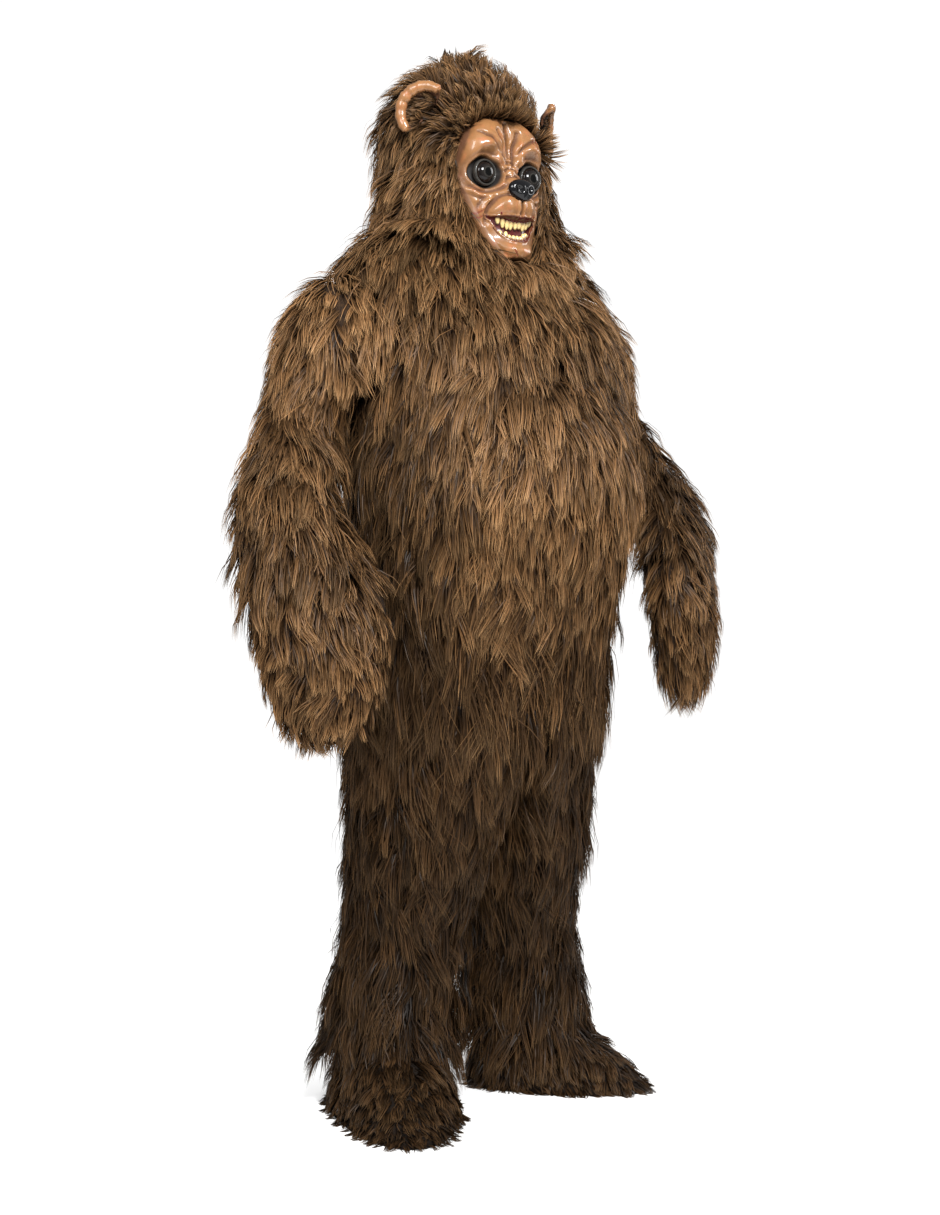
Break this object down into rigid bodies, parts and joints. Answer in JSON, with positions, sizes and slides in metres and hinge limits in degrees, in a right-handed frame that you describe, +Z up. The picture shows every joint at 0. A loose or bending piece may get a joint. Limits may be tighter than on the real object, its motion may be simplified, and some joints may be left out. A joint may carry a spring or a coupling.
{
  "type": "bear costume",
  "caption": "Hollow full-body bear costume of long-pile brown fur, with mitts, foot covers, a fur hood and a moulded latex bear face.",
  "frame": {"origin": "where the costume hangs on the wearer's shoulders, on the body's centre line", "axes": "+Z up, -Y the way the costume faces, +X the wearer's left"},
  "size_m": [1.0323, 0.5386, 1.8724],
  "materials": {
    "fur": "long-pile faux fur",
    "leg_fur": "long-pile faux fur, darker",
    "latex": "painted glossy latex",
    "gloss_black": "gloss",
    "ivory": "satin gloss",
    "zip_tape": "woven tape"
  },
  "bodies": {
    "root": {"suit_front": "fur", "suit_back_left": "fur", "suit_back_right": "fur", "back_zip": "zip_tape", "sleeve_left": "fur", "sleeve_right": "fur", "mitt_left": "fur", "mitt_right": "fur", "leg_left": "leg_fur", "leg_right": "leg_fur", "foot_cover_left": "leg_fur", "foot_cover_right": "leg_fur", "hood_left": "fur", "hood_right": "fur", "mask_face": "latex", "ear_left": "latex", "ear_right": "latex", "eye_lens_left": "gloss_black", "eye_lens_right": "gloss_black", "nose": "gloss_black", "teeth_upper": "ivory", "teeth_lower": "ivory"}
  },
  "joints": []
}
